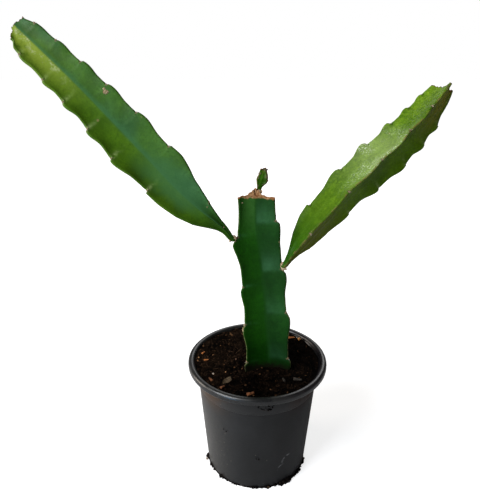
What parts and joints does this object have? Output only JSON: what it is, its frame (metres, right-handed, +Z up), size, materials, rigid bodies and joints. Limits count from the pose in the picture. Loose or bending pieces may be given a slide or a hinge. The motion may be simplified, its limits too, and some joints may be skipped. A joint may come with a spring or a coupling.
{
  "type": "potted dragon fruit cactus",
  "caption": "Young dragon fruit cactus: a cut-topped, three-winged green stem with long rising side stems and a new shoot, standing in soil in a round black nursery pot.",
  "frame": {"origin": "middle of the pot's underside, on the centre pad that stands on the ground", "axes": "+Z up; -Y towards the viewer, the side that both long side stems are seen from; one side stem rises towards -X and the other towards +X"},
  "size_m": [0.3464, 0.13, 0.4038],
  "materials": {
    "black_plastic": "satin black moulded nursery pot, lightly scuffed and dusty",
    "potting_mix": "dark crumbly peat and bark mix",
    "cactus_green": "smooth waxy green cactus skin with tan edges at the areoles",
    "shoot_green": "fresh green shoot with brown bracts",
    "bark_wood": "rough orange-brown bark flakes",
    "pale_grit": "pale mineral grains",
    "feed_prill": "smooth amber coated prill",
    "dry_leaf_tan": "dry curled tan leaf"
  },
  "bodies": {
    "root": {"pot": "black_plastic", "potting_soil": "potting_mix", "main_stem": "cactus_green", "left_branch": "cactus_green", "right_branch": "cactus_green", "new_shoot": "shoot_green", "dry_leaf": "dry_leaf_tan", "bark_chip_1": "bark_wood", "bark_chip_2": "bark_wood", "bark_chip_3": "bark_wood", "bark_chip_4": "bark_wood", "bark_chip_5": "bark_wood", "bark_chip_6": "bark_wood", "bark_chip_7": "bark_wood", "bark_chip_8": "bark_wood", "pale_grain_1": "pale_grit", "pale_grain_2": "pale_grit", "pale_grain_3": "pale_grit", "pale_grain_4": "pale_grit", "pale_grain_5": "pale_grit", "slow_feed_prill": "feed_prill", "soil_clod_1": "potting_mix", "soil_clod_2": "potting_mix", "soil_clod_3": "potting_mix", "soil_clod_4": "potting_mix", "soil_clod_5": "potting_mix", "soil_clod_6": "potting_mix", "soil_clod_7": "potting_mix", "soil_clod_8": "potting_mix", "soil_clod_9": "potting_mix", "soil_clod_10": "potting_mix", "soil_clod_11": "potting_mix"}
  },
  "joints": []
}
